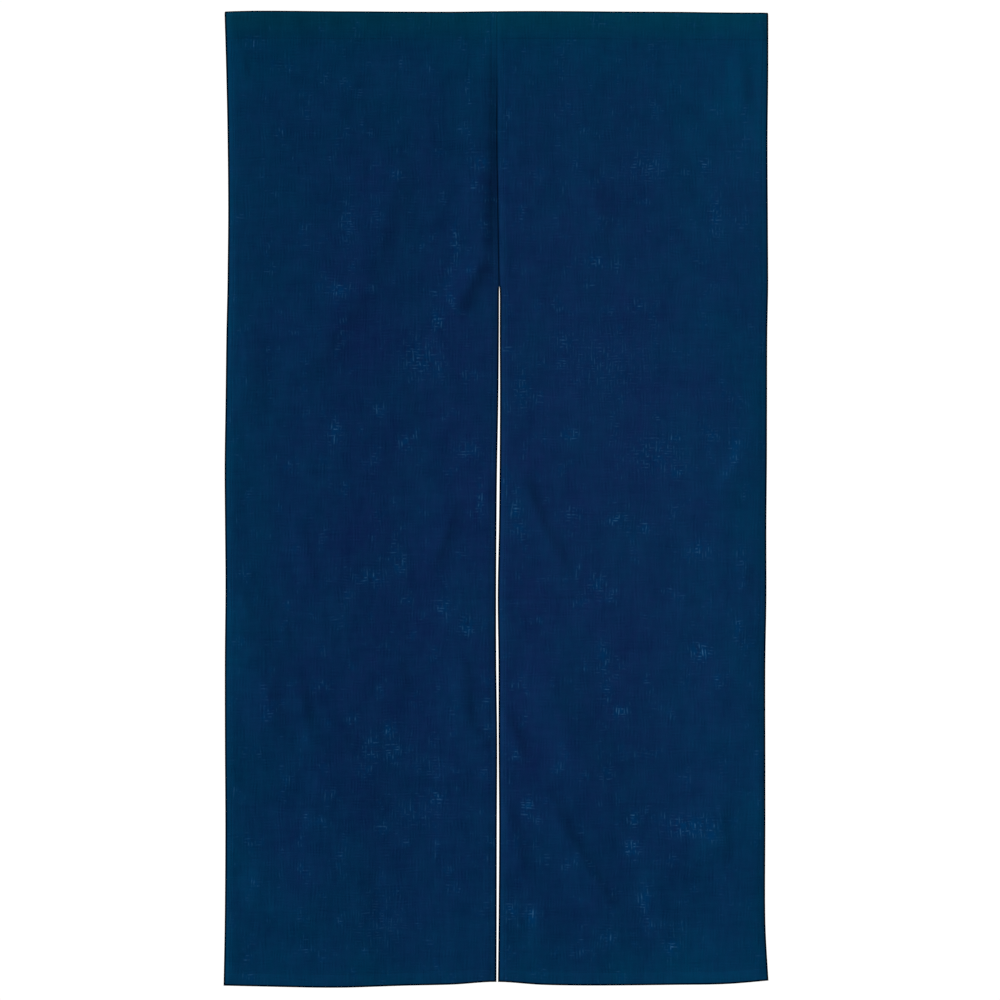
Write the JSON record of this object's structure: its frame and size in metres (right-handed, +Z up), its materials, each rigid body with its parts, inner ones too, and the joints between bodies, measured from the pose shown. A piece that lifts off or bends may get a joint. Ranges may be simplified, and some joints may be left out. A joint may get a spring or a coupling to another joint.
{
  "type": "noren curtain",
  "caption": "Split door curtain: a rod sleeve across the top, joined by a centre seam for the upper quarter and open below it in two hemmed, softly folded cloth panels.",
  "frame": {"origin": "middle of the curtain's top edge, in the plane of the cloth", "axes": "+X to the viewer's right across the curtain, +Y from the front face to the back, +Z up; the curtain hangs below the origin"},
  "size_m": [0.8363, 0.024, 1.5],
  "materials": {
    "panel_cloth": "matt plain-weave cotton and linen, piece dyed dark indigo blue, slubbed, slightly sheer",
    "sleeve_cloth": "the same cloth turned over and stitched as a rod sleeve, a shade greener at the edge"
  },
  "bodies": {
    "root": {"sleeve_left": "sleeve_cloth", "sleeve_right": "sleeve_cloth", "panel_left": "panel_cloth", "panel_right": "panel_cloth"}
  },
  "joints": []
}
